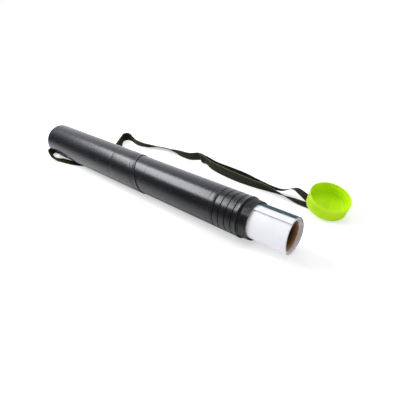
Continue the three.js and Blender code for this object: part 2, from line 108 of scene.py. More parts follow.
# ------------------------------------------------------------------ shader nodes
class Nodes:
    """Short names for the node types the materials use."""

    def __init__(self, tree):
        self.tree = tree

    def add(self, kind):
        return self.tree.nodes.new("ShaderNode" + kind)

    def put(self, socket, value):
        if isinstance(value, bpy.types.NodeSocket):
            self.tree.links.new(value, socket)
        else:
            socket.default_value = value

    def surface(self, name, value):
        """Set or link an input of the material's Principled shader."""
        self.put(self.bsdf.inputs[name], value)

    def node(self, kind, output, **inputs):
        node = self.add(kind)
        for name, value in inputs.items():
            self.put(node.inputs[name], value)
        return node.outputs[output]

    def coord(self):
        return self.node("TexCoord", "Object")

    def mapping(self, vector, scale=(1, 1, 1), rotation=(0, 0, 0), location=(0, 0, 0)):
        return self.node("Mapping", "Vector", Vector=vector, Scale=scale,
                         Rotation=rotation, Location=location)

    def noise(self, vector, scale, detail=3.0, rough=0.55, distortion=0.0):
        return self.node("TexNoise", "Fac", Vector=vector, Scale=scale, Detail=detail,
                         Roughness=rough, Distortion=distortion)

    def voronoi(self, vector, scale):
        return self.node("TexVoronoi", "Distance", Vector=vector, Scale=scale)

    def ramp(self, fac, stops):
        """stops: (position, grey or colour)."""
        node = self.add("ValToRGB")
        self.put(node.inputs["Fac"], fac)
        elements = node.color_ramp.elements
        while len(elements) < len(stops):
            elements.new(0.5)
        for k, (position, colour) in enumerate(stops):
            if not isinstance(colour, tuple):
                colour = (colour,) * 3
            elements[k].position = position
            elements[k].color = (*colour, 1)
        return node.outputs["Color"]

    def math(self, operation, *values):
        node = self.add("Math")
        node.operation = operation
        for k, value in enumerate(values):
            self.put(node.inputs[k], value)
        return node.outputs[0]

    def mul(self, a, b):
        return self.math("MULTIPLY", a, b)

    def mul_add(self, value, times, plus):
        return self.math("MULTIPLY_ADD", value, times, plus)

    def mix(self, fac, a, b, blend="MIX"):
        node = self.add("Mix")
        node.data_type = "RGBA"
        node.blend_type = blend
        self.put(node.inputs[0], fac)
        for socket, colour in ((6, a), (7, b)):  # the two colour inputs
            is_socket = isinstance(colour, bpy.types.NodeSocket)
            self.put(node.inputs[socket], colour if is_socket else (*colour, 1))
        return node.outputs[2]

    def attribute(self, name):
        node = self.add("Attribute")
        node.attribute_name = name
        return node.outputs["Fac"]

    def bump(self, height, strength, distance, over=None):
        """Bump, laid over another bump's normal if one is given."""
        under = {} if over is None else {"Normal": over}
        return self.node("Bump", "Normal", Height=height, Strength=strength,
                         Distance=distance, **under)

    def separate(self, vector):
        node = self.add("SeparateXYZ")
        self.put(node.inputs[0], vector)
        return node.outputs[0], node.outputs[1], node.outputs[2]


def material(name):
    """A new material and its nodes, with a Principled shader on the output."""
    mat = bpy.data.materials.new(name)
    mat.use_nodes = True
    mat.node_tree.nodes.clear()
    n = Nodes(mat.node_tree)
    output = n.add("OutputMaterial")
    n.bsdf = n.add("BsdfPrincipled")
    n.put(output.inputs["Surface"], n.bsdf.outputs["BSDF"])
    return mat, n


# ------------------------------------------------------------------ materials
def black_plastic(name, base, lift, rough, streaks, grain):
    """Satin black: colour drifts from base to lift, with streaks along X and fine scuffs."""
    mat, n = material(name)
    co = n.coord()
    drift = n.noise(co, scale=9, detail=4, rough=0.6)
    along = n.noise(n.mapping(co, scale=(0.6, 420, 420)), scale=1.0, detail=5, rough=0.6)
    fine = n.noise(n.mapping(co, scale=(1.5, 1500, 1500)), scale=1.0, detail=2, rough=0.5)
    scuff_space = n.mapping(co, scale=(90, 900, 900), rotation=(0.1, 0.3, 0.05))
    scuff = n.noise(scuff_space, scale=1.0, detail=2, rough=0.5, distortion=0.6)
    scuffs = n.ramp(scuff, [(0.0, 0), (0.66, 0), (0.74, 1), (1.0, 1)])

    colour = n.mix(n.ramp(drift, [(0.3, 0), (0.75, 1)]), base, lift)
    colour = n.mix(n.mul(scuffs, 0.28), colour, (0.09, 0.09, 0.095))
    n.surface("Base Color", colour)

    roughness = n.mul_add(along, times=streaks, plus=rough - streaks * 0.5)
    roughness = n.math("ADD", roughness, n.mul(scuffs, 0.16))
    roughness = n.math("ADD", roughness, n.mul_add(drift, times=0.10, plus=-0.05))
    n.surface("Roughness", roughness)
    n.surface("IOR", 1.5)

    grains = n.noise(co, scale=1600, detail=2, rough=0.5)
    normal = n.bump(grains, strength=grain * 0.5, distance=0.00003)
    normal = n.bump(along, strength=0.10 * streaks / 0.14, distance=0.00003, over=normal)
    normal = n.bump(fine, strength=0.05, distance=0.00002, over=normal)
    n.surface("Normal", normal)
    return mat


def green_plastic():
    """Yellow-green, slightly translucent; painted shade darkens it where the mesh's groove
    attribute is high, in the knurl's grooves.
    """
    mat, n = material("cap_plastic")
    co = n.coord()
    drift = n.noise(co, scale=28, detail=4, rough=0.6)
    speck = n.voronoi(co, scale=520)
    colour = n.mix(drift, (0.430, 0.690, 0.0004), (0.500, 0.760, 0.0006))
    colour = n.mix(n.ramp(speck, [(0.0, 1), (0.16, 0)]), colour, (0.50, 0.80, 0.02))
    # painted shade in the knurl's crossing grooves
    colour = n.mix(n.attribute("groove"), colour, (0.17, 0.31, 0.0003))
    n.surface("Base Color", colour)
    blotches = n.noise(co, scale=160, detail=3, rough=0.6)
    n.surface("Roughness", n.mul_add(blotches, times=0.22, plus=0.30))
    n.surface("Specular IOR Level", 0.22)
    # a faint glow stands for light carried inside the thin wall
    n.surface("Emission Color", (0.40, 0.70, 0.0, 1))
    n.surface("Emission Strength", 0.13)
    n.surface("Subsurface Weight", 0.08)
    n.surface("Subsurface Radius", (0.5, 1.0, 0.1))
    n.surface("Subsurface Scale", 0.0022)
    grains = n.noise(co, scale=900, detail=3, rough=0.6)
    n.surface("Normal", n.bump(grains, strength=0.16, distance=0.00008))
    return mat


def webbing_material():
    """Woven olive-black webbing; su runs along the strap and sv across it, in metres."""
    cord_width = 0.0015
    pick_length = 0.0019
    mat, n = material("webbing")
    su, sv = n.attribute("su"), n.attribute("sv")

    # neighbouring cords slant opposite ways and are half a pick out of step
    cord = n.mul(sv, 1 / cord_width)
    row = n.math("FLOOR", cord)
    odd = n.math("MODULO", n.math("ABSOLUTE", row), 2.0)
    in_cord = n.math("SUBTRACT", n.math("FRACT", cord), 0.5)
    lean = n.mul_add(odd, times=-1.3, plus=0.65)
    slant = n.mul_add(in_cord, times=lean, plus=n.mul(su, 1 / pick_length))
    slant = n.mul_add(odd, times=0.5, plus=slant)
    pick = n.math("ABSOLUTE", n.math("SINE", n.mul(slant, math.pi)))
    ridge = n.math("ABSOLUTE", n.math("SINE", n.mul(cord, math.pi)))
    weave = n.mul(n.math("POWER", pick, 0.6), n.math("POWER", ridge, 0.5))

    co = n.coord()
    fuzz = n.noise(co, scale=2600, detail=3, rough=0.7)
    wear = n.noise(co, scale=38, detail=4, rough=0.65)
    colour = n.mix(weave, (0.0040, 0.0040, 0.0022), (0.0190, 0.0190, 0.0085))
    colour = n.mix(n.mul(wear, 0.55), colour, (0.0260, 0.0260, 0.0130))
    # painted highlight: the rolled edges are lightened to stand for light catching them
    colour = n.mix(n.mul(n.attribute("edge"), 0.85), colour, (0.240, 0.235, 0.150))
    colour = n.mix(n.mul(fuzz, 0.08), colour, (0.05, 0.05, 0.030))
    n.surface("Base Color", colour)
    n.surface("Roughness", n.mul_add(weave, times=-0.18, plus=0.86))
    n.surface("Specular IOR Level", 0.12)
    normal = n.bump(weave, strength=0.85, distance=0.00022)
    n.surface("Normal", n.bump(fuzz, strength=0.30, distance=0.00008, over=normal))
    return mat


def add_flecks_and_painted_shade(n, co, colour, fleck, light):
    """Dark and light fibres over a paper colour, with painted shade that darkens it away from the
    mouth.
    """
    shade_depth = 0.042  # where the shading starts, in from the rolls' front end
    shade_length = 0.040
    x, _, _ = n.separate(co)
    start = roll_high[0] * MM - shade_depth
    inward = n.mul_add(x, times=1 / shade_length, plus=-start / shade_length)
    # painted shade: the colour darkens deeper inside the tube
    painted_depth_shade = n.ramp(inward, [(0.0, 0.002), (0.42, 0.010), (0.60, 0.30), (0.78, 0.85)])
    space = n.mapping(co, scale=(420, 1500, 1500), rotation=(0.5, 0.2, 0.9))
    dark_fibres = n.ramp(n.noise(space, scale=1.0, detail=3, rough=0.7), [(0.56, 0), (0.66, 1)])
    colour = n.mix(n.mul(dark_fibres, 0.55), colour, fleck)
    space = n.mapping(co, scale=(300, 1300, 1300), rotation=(1.1, 0.6, 0.2), location=(3, 1, 2))
    light_fibres = n.ramp(n.noise(space, scale=1.0, detail=3, rough=0.7), [(0.60, 0), (0.68, 1)])
    colour = n.mix(n.mul(light_fibres, 0.35), colour, light)
    return n.mix(1.0, colour, painted_depth_shade, blend="MULTIPLY")


def paper(name, dark, light, rough, fleck=None, fibre=0.35, specular=0.4):
    """Clouded colour with a fibre bump; fleck is the colour of dark fibres, if any, and with it
    comes painted shade deeper in the tube.
    """
    mat, n = material(name)
    co = n.coord()
    cloud = n.noise(co, scale=22, detail=5, rough=0.6)
    fibre_space = n.mapping(co, scale=(260, 1100, 1100), rotation=(0.2, 0.1, 0.4))
    fibres = n.noise(fibre_space, scale=1.0, detail=4, rough=0.65, distortion=0.8)
    colour = n.mix(cloud, dark, light)
    if fleck:
        colour = add_flecks_and_painted_shade(n, co, colour, fleck, light)
    n.surface("Base Color", colour)
    n.surface("Roughness", n.mul_add(fibres, times=0.14, plus=rough))
    n.surface("Specular IOR Level", specular)
    n.surface("Normal", n.bump(fibres, strength=fibre, distance=0.00005))
    return mat


def ring_rubber():
    mat, n = material("ring_rubber")
    co = n.coord()
    cloud = n.noise(co, scale=60, detail=4)
    n.surface("Base Color", n.mix(cloud, (0.007, 0.007, 0.007), (0.022, 0.022, 0.022)))
    n.surface("Roughness", n.mul_add(n.noise(co, scale=300, detail=3), times=0.25, plus=0.62))
    grains = n.noise(co, scale=1200, detail=3)
    n.surface("Normal", n.bump(grains, strength=0.4, distance=0.00008))
    return mat


TUBE = black_plastic("tube_plastic", base=(0.0070, 0.0073, 0.0088),
                     lift=(0.0105, 0.0108, 0.0125), rough=0.27, streaks=0.10, grain=0.10)
MOULDED = black_plastic("moulded_plastic", base=(0.0060, 0.0062, 0.0072),
                        lift=(0.0095, 0.0097, 0.0110), rough=0.26, streaks=0.05, grain=0.20)
GREEN = green_plastic()
WEB = webbing_material()
WHITE = paper("white_paper", dark=(0.74, 0.74, 0.765), light=(0.80, 0.80, 0.82), rough=0.62)
# painted shadow: the white roll's free edge is dark grey for the shadow line beneath it
WHITE_FREE_EDGE_SHADOW = paper("white_paper_free_edge_shadow", dark=(0.16, 0.16, 0.17),
                   light=(0.24, 0.24, 0.25), rough=0.8)
WHITE_EDGE = paper("white_paper_edge", dark=(0.86, 0.85, 0.84),
                   light=(0.93, 0.92, 0.91), rough=0.75)
TEAL = paper("teal_paper", dark=(0.008, 0.042, 0.050), light=(0.013, 0.062, 0.074),
             rough=0.5, fibre=0.15, specular=0.15)
TEAL_EDGE = paper("teal_paper_edge", dark=(0.20, 0.30, 0.32), light=(0.36, 0.46, 0.48),
                  rough=0.7, specular=0.15)
# the kraft's flecks bring painted shade that darkens it deeper in the tube
KRAFT = paper("kraft_paper", dark=(0.52, 0.215, 0.045), light=(0.66, 0.31, 0.085),
              rough=0.72, fleck=(0.22, 0.08, 0.02))
KRAFT_EDGE = paper("kraft_paper_edge", dark=(0.42, 0.20, 0.07), light=(0.56, 0.30, 0.12),
                   rough=0.8)
# spare: no piece wears it
paper("stitch_thread", dark=(0.020, 0.021, 0.013), light=(0.055, 0.056, 0.036), rough=0.7)
RUBBER = ring_rubber()


# ------------------------------------------------------------------ mesh helpers
def smooth(mesh, sharp):
    """Shade smooth, with edges sharper than the angle in degrees kept crisp."""
    mesh.shade_smooth()
    mesh.set_sharp_from_angle(angle=math.radians(sharp))


def make(name, co_mm, faces, mats, index=None, sharp=35, attributes=None):
    """An object from points in mm; index: material per face; attributes: values per point."""
    mesh = bpy.data.meshes.new(name)
    mesh.from_pydata((np.asarray(co_mm, float) * MM).tolist(), [], faces)
    mesh.update()
    for key, values in (attributes or {}).items():
        attribute = mesh.attributes.new(key, "FLOAT", "POINT")
        attribute.data.foreach_set("value", np.asarray(values, np.float32))
    for mat in mats if isinstance(mats, (list, tuple)) else [mats]:
        mesh.materials.append(mat)
    if index is not None:
        mesh.polygons.foreach_set("material_index", np.asarray(index, np.int32))
    smooth(mesh, sharp)
    ob = bpy.data.objects.new(name, mesh)
    scene.collection.objects.link(ob)
    return ob


def make_outward(name, co_mm, faces, mats, sharp, **options):
    """make(), with the faces then turned outwards."""
    ob = make(name, co_mm, faces, mats, sharp=sharp, **options)
    bm = bmesh.new()
    bm.from_mesh(ob.data)
    bmesh.ops.recalc_face_normals(bm, faces=bm.faces)
    bm.to_mesh(ob.data)
    bm.free()
    smooth(ob.data, sharp)
    return ob


def turned_outward(co, faces):
    """The faces, all reversed if the volume they enclose comes out negative."""
    tri = [[f[0], f[1], f[2]] for f in faces] + [[f[0], f[2], f[3]] for f in faces if len(f) == 4]
    tri = np.array(tri)
    volume = np.einsum("ij,ij->i", co[tri[:, 0]], np.cross(co[tri[:, 1]], co[tri[:, 2]])).sum()
    return [f[::-1] for f in faces] if volume < 0 else faces


def tube_faces(rings, size, base=0, closed=False, flip=False):
    """Quads joining successive rings of points; closed joins the last to the first."""
    faces = []
    for k in range(rings if closed else rings - 1):
        a, b = base + k * size, base + ((k + 1) % rings) * size
        for j in range(size):
            after = (j + 1) % size
            if flip:
                faces.append((a + j, b + j, b + after, a + after))
            else:
                faces.append((a + j, a + after, b + after, b + j))
    return faces


def end_faces(rings, size, base=0):
    first = tuple(base + j for j in range(size))
    last = tuple(base + (rings - 1) * size + j for j in reversed(range(size)))
    return [first, last]


def placement(x_axis, y_axis, z_axis, origin):
    matrix = np.eye(4)
    matrix[:3, 0], matrix[:3, 1], matrix[:3, 2] = x_axis, y_axis, z_axis
    matrix[:3, 3] = origin
    return matrix


def turning_frame(axis, side, origin):
    """Placement of a turned piece: its axis, and the direction its angles start from."""
    return placement(axis, side, np.cross(axis, side), origin)


def place(co, matrix):
    return co @ matrix[:3, :3].T + matrix[:3, 3]


def unit_rows(rows):
    return rows / np.linalg.norm(rows, axis=1)[:, None]


def lathe(name, profile, mats, angles=None, segments=192, shift=None, to=None, sharp=35,
          axis_ends=False):
    """A turned piece about X.

    profile: rows (x, r), with the optional functions of (x, angles) after them: relief,
    added to the radius, and groove, the painted shade of recesses, stored as a point
    attribute. shift(x, y, z) is added to x. The section closes on itself, or is capped
    at both ends with axis_ends.
    """
    t = np.linspace(0, TAU, segments, endpoint=False) if angles is None else angles
    size = len(t)
    rows = len(profile)
    co = np.zeros((rows, size, 3))
    groove = np.zeros((rows, size))
    for k, (x, r, *functions) in enumerate(profile):
        radius = np.full(size, float(r))
        if functions:
            radius = radius + functions[0](x, t)
        if len(functions) > 1:
            groove[k] = functions[1](x, t)
        co[k, :, 0] = x
        co[k, :, 1] = radius * np.cos(t)
        co[k, :, 2] = radius * np.sin(t)
    if shift is not None:
        co[..., 0] += shift(co[..., 0], co[..., 1], co[..., 2])
    faces = tube_faces(rows, size, closed=not axis_ends, flip=True)
    if axis_ends:
        faces.append(tuple(reversed(range(size))))
        faces.append(tuple((rows - 1) * size + j for j in range(size)))
    co = co.reshape(-1, 3)
    faces = turned_outward(co, faces)
    if to is not None:
        co = place(co, np.array(to))
    has_groove_shade = any(len(row) > 3 for row in profile)
    attributes = {"groove": groove.reshape(-1)} if has_groove_shade else None
    return make(name, co, faces, mats, sharp=sharp, attributes=attributes)


def spread(x_from, x_to, r, step):
    """Evenly spaced rows at one radius."""
    count = max(1, int(round(abs(x_to - x_from) / step)))
    return [(x, r) for x in np.linspace(x_from, x_to, count + 1)]


def groove_rows(x, r, width, depth, soft=0.35):
    """A narrow groove with rounded shoulders."""
    half = width / 2
    return [
        (x - half - soft, r),
        (x - half - 0.1 * soft, r - 0.12 * depth),
        (x - half, r - 0.4 * depth),
        (x - half * 0.8, r - depth),
        (x + half * 0.8, r - depth),
        (x + half, r - 0.4 * depth),
        (x + half + 0.1 * soft, r - 0.12 * depth),
        (x + half + soft, r),
    ]


def with_functions(rows, *functions):
    return [(*row, *functions) for row in rows]


def superellipse(c, s, power):
    """Scale that takes the circle point (c, s) out to a rounded square."""
    return (abs(c) ** power + abs(s) ** power) ** (-1 / power)


def stand_for(ob, body, slot, *nodes):
    """Parent the object to the empty of the body that moves it, and hide the CAD pieces it
    replaces; slot is not used.
    """
    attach(ob, body)
    if nodes:
        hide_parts(*nodes)


# ------------------------------------------------------------------ tubes
def outer_tube():
    def tilt_lip(x, y, z):
        w = np.clip((x - (SEAM_X - 110)) / 70, 0, 1)
        return (w * w * (3 - 2 * w)) * (SEAM_TILT_Y * y + SEAM_TILT_Z * z)

    start, seam, r = OUTER_START, SEAM_X, OUTER_R
    profile = [(start, r - 0.25), (start + 0.3, r)]
    profile += spread(start + 8, seam - 92, r, step=40)
    profile += groove_rows(seam - 86, r, width=0.7, depth=0.22)
    profile += spread(seam - 70, seam - 24, r, step=12)
    for back in (18.5, 13.0, 7.5):
        profile += groove_rows(seam - back, r, width=0.8, depth=0.3)
    profile += [
        (seam - 2.2, r), (seam - 1.6, r + 0.12), (seam - 0.7, r + 0.12),
        (seam - 0.25, r - 0.05), (seam, r - 0.35),
        (seam, OUTER_BORE + 0.25), (seam - 0.4, OUTER_BORE),
    ]
    profile += spread(seam - 12, start + 0.2, OUTER_BORE, step=60)
    ob = lathe("outer_tube_shell", profile, TUBE, segments=224, shift=tilt_lip)
    stand_for(ob, "outer", "tube_plastic", "outer_tube")


def drum(name, profile, segments):
    """A solid turned piece on the stub's axis."""
    to = Matrix.Translation((0, 0, STUB_Z))
    return lathe(name, profile, MOULDED, segments=segments, axis_ends=True, to=to)


def cut(ob, cutter):
    """Subtract the cutter from the object, and remove it."""
    modifier = ob.modifiers.new("cut", "BOOLEAN")
    modifier.operation = "DIFFERENCE"
    modifier.solver = "EXACT"
    modifier.object = cutter
    bpy.context.view_layer.update()
    depsgraph = bpy.context.evaluated_depsgraph_get()
    mesh = bpy.data.meshes.new_from_object(ob.evaluated_get(depsgraph))
    ob.modifiers.clear()
    ob.data = mesh
    smooth(mesh, 35)
    bpy.data.objects.remove(cutter)


def base_plug():
    """Closed end: rounded plug with a fine ring and a round pocket in its face, and a stub."""
    round_x, round_r = 3.1, 5.5  # size of the rounded rim
    wall_x = 3.2
    profile = [(0.0, r) for r in (0.5, 12.0, 24.0, 33.5)]
    profile += [(0.25, 33.9), (0.3, 34.4), (0.05, 34.8)]
    profile += [
        (round_x - round_x * math.cos(a), OUTER_R - round_r + round_r * math.sin(a))
        for a in np.linspace(0.1, math.pi / 2, 10)
    ]
    profile += [
        (wall_x, OUTER_R - 0.2), (wall_x, 39.6), (PLUG_END - 0.6, 39.5), (PLUG_END, 39.0),
        (PLUG_END, 37.8), (3.4, 37.7), (wall_x, 37.0), (wall_x, 0.5),
    ]
    plug = lathe("base_plug_shell", profile, MOULDED, segments=160, axis_ends=True)
    pocket = [(-1.0, 0.4), (-1.0, 17.7), (0.0, 17.5), (0.3, 17.2), (0.8, 17.1), (0.8, 0.4)]
    cut(plug, drum("pocket", pocket, segments=64))
    stand_for(plug, "outer", "moulded_plastic", "base_plug")

    stub = [(-3.7, 0.3), (-3.7, 2.6), (-3.4, 2.95), (0.6, 3.0), (1.1, 3.6), (1.1, 0.3)]
    stand_for(drum("base_stub", stub, segments=48), "outer", "moulded_plastic")


def inner_tube():
    """Inner tube, with a shallow line along its lower front and a seat for the ring."""
    line_angle = math.radians(213)
    line_offsets = np.radians([-1.1, -0.75, -0.45, 0, 0.45, 0.75, 1.1])
    angles = np.linspace(0, TAU, 224, endpoint=False)
    angles = np.unique(np.concatenate([angles, line_angle + line_offsets]))

    def line(x, t):
        away = np.abs((t - line_angle + math.pi) % TAU - math.pi)
        return -0.45 * np.clip((math.radians(0.85) - away) / math.radians(0.35), 0, 1)

    start, end, r = INNER_START, COLLAR_X, INNER_R
    rear = [(start, r - 0.7), (start + 1, r)]
    seat = [(296.0, r), (296.1, r - 1.0), (303.9, r - 1.0), (304.0, r)]
    lined = spread(308, 396, r, step=30)
    lined += groove_rows(401, r, width=0.6, depth=0.16)
    lined += spread(408, 584, r, step=40)
    lined += groove_rows(589.5, r, width=0.7, depth=0.22)
    lined += [(596, r), (end - 0.9, r), (end - 0.5, r - 0.15), (end - 0.35, r - 0.5)]
    bore = [(end - 0.35, INNER_BORE + 0.1)] + spread(end - 2, start, INNER_BORE, step=60)
    profile = rear + seat + with_functions(lined, line) + bore
    ob = lathe("inner_tube_shell", profile, TUBE, angles=angles)
    stand_for(ob, "inner", "tube_plastic", "inner_tube")


def friction_ring():
    profile = [
        (296.4, 38.8), (296.4, 39.35), (296.9, 39.68), (299.3, 39.68), (299.6, 39.4),
        (300.4, 39.4), (300.7, 39.68), (303.1, 39.68), (303.6, 39.35), (303.6, 38.8),
    ]
    ob = lathe("friction_ring_body", profile, RUBBER, segments=160)
    stand_for(ob, "slide_ring", "ring_rubber", "friction_ring")


# ------------------------------------------------------------------ collar and screw neck
def collar():
    pitch = 3.8
    ridge = 1.3
    run_in = 1.4  # length over which the thread fades at each end
    thread_from, thread_to = FLANGE_X + 6.2, MOUTH_X - 2.9

    def thread(x, t):
        phase = (x - thread_from) / pitch - t / TAU
        f = np.abs((phase % 1.0) - 0.5) * 2
        height = np.clip((1 - f) * 2.1 - 0.55, 0, 1)
        fade_in = np.clip((x - thread_from) / run_in, 0, 1)
        fade = fade_in * np.clip((thread_to - x) / run_in, 0, 1)
        return ridge * height * fade

    start, flange, mouth, r = COLLAR_X, FLANGE_X, MOUTH_X, INNER_R
    # sleeve inside the tube, then the step up to the tube's radius
    profile = [
        (start - 16, INNER_BORE - 0.9), (start - 15.2, INNER_BORE - 0.35),
        (start - 0.1, INNER_BORE - 0.35), (start, INNER_BORE - 0.2),
        (start, r - 1.6), (start + 0.9, r - 1.6), (start + 1.0, r - 0.2),
        (start + 1.3, r), (start + 2.6, r + 0.02),
    ]
    for k in (1, 2, 3):
        profile += groove_rows(start + k * RIB_PITCH, r, width=1.7, depth=1.9, soft=0.25)
    # flange and the step down to the neck
    profile += [
        (flange - 3.0, r), (flange - 1.0, r + 0.05), (flange + 0.1, r + 0.35),
        (flange + 0.9, r + 0.6), (flange + 1.8, r + 0.6), (flange + 2.5, r + 0.45),
        (flange + 2.9, r - 0.1), (flange + 3.1, r - 1.4), (flange + 3.6, NECK_R + 0.3),
        (flange + 4.3, NECK_R - 0.3), (flange + 5.2, NECK_R - 0.3),
        (flange + 5.9, NECK_R - 0.05),
    ]
    threaded = [(x, NECK_R - 0.5) for x in np.arange(thread_from, thread_to + 0.01, 0.27)]
    profile += with_functions(threaded, thread)
    # mouth lip and bore
    profile += [
        (mouth - 2.6, NECK_R), (mouth - 2.2, NECK_R + 0.4), (mouth - 0.7, NECK_R + 0.4),
        (mouth - 0.15, NECK_R + 0.1), (mouth, NECK_R - 0.3), (mouth, NECK_BORE + 0.4),
        (mouth - 0.3, NECK_BORE + 0.05), (mouth - 1.0, NECK_BORE),
    ]
    profile += spread(mouth - 4, start - 15.4, NECK_BORE, step=30)
    ob = lathe("collar_body", profile, MOULDED, segments=256, sharp=28)
    stand_for(ob, "inner", "moulded_plastic", "neck_collar")


def lug(name, x_from, x_to, angle, half_angle, height, taper):
    """A small raised lug that follows the barrel's curve, with sloping sides."""
    nx, na = 7, 9
    # inset and height above the barrel, from the buried foot to the top face
    levels = [(0.0, -0.35), (0.0, 0.0), (taper, height * 0.85), (taper * 1.9, height)]
    co, faces = [], []
    for inset, rise in levels:
        for i in range(nx):
            for j in range(na):
                u, v = i / (nx - 1), j / (na - 1)
                x = (x_from + inset) + u * ((x_to - inset) - (x_from + inset))
                reach = math.radians(half_angle) - inset / INNER_R
                a = math.radians(angle) + (2 * v - 1) * reach
                co.append((x, (INNER_R + rise) * math.cos(a), (INNER_R + rise) * math.sin(a)))

    def point(level, i, j):
        return level * nx * na + i * na + j

    rim = [(i, 0) for i in range(nx - 1)]
    rim += [(nx - 1, j) for j in range(na - 1)]
    rim += [(i, na - 1) for i in range(nx - 1, 0, -1)]
    rim += [(0, j) for j in range(na - 1, 0, -1)]
    for level in range(3):
        for a, b in zip(rim, rim[1:] + rim[:1]):
            faces.append((point(level, *a), point(level, *b),
                          point(level + 1, *b), point(level + 1, *a)))
    for level, flip in ((3, False), (0, True)):
        for i in range(nx - 1):
            for j in range(na - 1):
                face = (point(level, i, j), point(level, i + 1, j),
                        point(level, i + 1, j + 1), point(level, i, j + 1))
                faces.append(face[::-1] if flip else face)

    # the two middle levels have points only round the rim
    used = sorted({i for f in faces for i in f})
    renumber = {old: new for new, old in enumerate(used)}
    co = np.array([co[i] for i in used])
    faces = [tuple(renumber[i] for i in f) for f in faces]
    faces = turned_outward(co - co.mean(0), faces)
    ob = make(name, co, faces, MOULDED, sharp=40)
    stand_for(ob, "inner", "moulded_plastic")


def collar_lugs():
    """Three lugs between the first two grooves: on top, at the front and underneath."""
    # name, gaps to the two grooves, angle from +Y, half angle, height, taper
    lugs = [
        ("collar_lug_top", 2.2, 2.4, 104, 3.6, 1.0, 0.35),
        ("collar_lug_front", 5.0, 2.2, 196, 1.7, 0.28, 0.12),
        ("collar_lug_rear", 2.2, 2.4, 284, 3.6, 0.28, 0.12),
    ]
    for name, gap_from, gap_to, angle, half_angle, height, taper in lugs:
        x_from = COLLAR_X + RIB_PITCH + gap_from
        x_to = COLLAR_X + 2 * RIB_PITCH - gap_to
        lug(name, x_from, x_to, angle, half_angle, height, taper)


# ------------------------------------------------------------------ cap
def cap():
    """Screw cap, turned about its own axis with x = 0 on the closed face."""
    diamonds = 84
    knurl_from, knurl_to = 3.2, 23.4
    corner = 1.9
    rim_r = 41.55

    def knurl(x, t):
        """Diamond knurl: 1 on the crowns, 0 in the crossing grooves."""
        u = t * diamonds / 2
        v = (x - knurl_from) / 3.15 * math.pi
        h = np.minimum(np.abs(np.sin(u + v)), np.abs(np.sin(u - v)))
        return np.clip(h * 1.9, 0, 1)

    def knurl_relief(x, t):
        fade = min(1.0, x - knurl_from, knurl_to - x)
        return (knurl(x, t) - 0.35) * 0.52 * max(0.0, fade)

    # painted shade: how dark the knurl's crossing grooves are coloured, stored as the groove
    # attribute
    def knurl_groove_shade(x, t):
        return np.clip(1 - knurl(x, t) * 1.5, 0, 1) * 0.55

    def inner_thread(x, t):
        phase = (x - 9) / 3.6 + t / TAU
        f = np.abs((phase % 1.0) - 0.5) * 2
        fade = min(1.0, max(0.0, (22.0 - x) / 1.5)) * min(1.0, max(0.0, (x - 9.2) / 1.5))
        return -0.4 * np.clip((1 - f) * 2.6 - 1.4, 0, 1) * fade

    # stub, closed face with a fine ring, and the rounded corner
    profile = [
        (-4.3, 0.3), (-4.3, 2.7), (-4.0, 2.95), (-0.3, 3.0), (0.0, 3.6), (0.0, 12.0),
        (0.35, 12.4), (0.35, 13.4), (0.0, 13.8), (0.0, 28.0),
    ]
    for a in np.linspace(180, 92, 6):
        x = corner + corner * math.cos(math.radians(a))
        profile.append((x, rim_r - corner + corner * math.sin(math.radians(a))))
    profile += [(2.6, 41.5), (3.0, 41.45)]
    knurled = [(x, 41.38 + 0.5 * (x - knurl_from) / 20.0)
               for x in np.arange(knurl_from, 23.41, 0.42)]
    profile += with_functions(knurled, knurl_relief, knurl_groove_shade)
    # open rim
    profile += [
        (23.7, 41.95), (24.2, 42.2), (27.4, 42.3), (28.1, 42.15), (28.45, 41.8), (28.5, 41.4),
        (28.5, 40.9), (28.2, 40.4), (27.6, 40.15), (24.0, 40.1), (23.3, 39.9), (22.6, 38.5),
    ]
    profile += with_functions([(x, 38.3) for x in np.arange(22.2, 8.9, -0.6)], inner_thread)
    # inner floor and the raised disc at its centre
    profile += [
        (8.0, 38.3), (5.6, 38.2), (3.8, 37.6), (2.9, 36.5), (2.6, 35.2), (2.6, 33.0),
        (2.3, 32.6), (1.9, 32.3), (1.9, 24.0), (1.9, 14.0), (1.9, 6.2), (2.5, 5.8),
        (3.0, 4.8), (3.0, 0.3),
    ]
    ob = lathe("cap_body", profile, GREEN, segments=diamonds * 6, axis_ends=True, sharp=42,
               to=turning_frame(CAP_OPEN, BAR_DIR, CAP_BASE))
    stand_for(ob, "cap", "cap_plastic", "cap_shell")


# ------------------------------------------------------------------ strap brackets
def bracket_plate():
    """Eight rings of a rounded rectangular plate with a central bore."""
    half_long, half_short, squareness = 15.5, 6.5, 5.0
    bottom, top = 0.45, 2.35
    bevel, bore, bore_chamfer = 0.4, 3.4, 0.3
    size = 64
    t = np.linspace(0, TAU, size, endpoint=False)
    c, s = np.cos(t), np.sin(t)
    rings = []
    for z, inset in ((bottom, bevel), (bottom + bevel, 0.0), (top - bevel, 0.0), (top, bevel)):
        k = superellipse(c / (half_short - inset), s / (half_long - inset), squareness)
        rings.append(np.column_stack([k * c, k * s, np.full(size, z)]))
    wide = 3.7
    for z, r in ((top, wide), (top - bore_chamfer, bore), (bottom + bore_chamfer, bore),
                 (bottom, wide)):
        rings.append(np.column_stack([r * c, r * s, np.full(size, z)]))
    co = [tuple(p) for p in np.concatenate(rings)]
    return co, tube_faces(len(rings), size, closed=True)


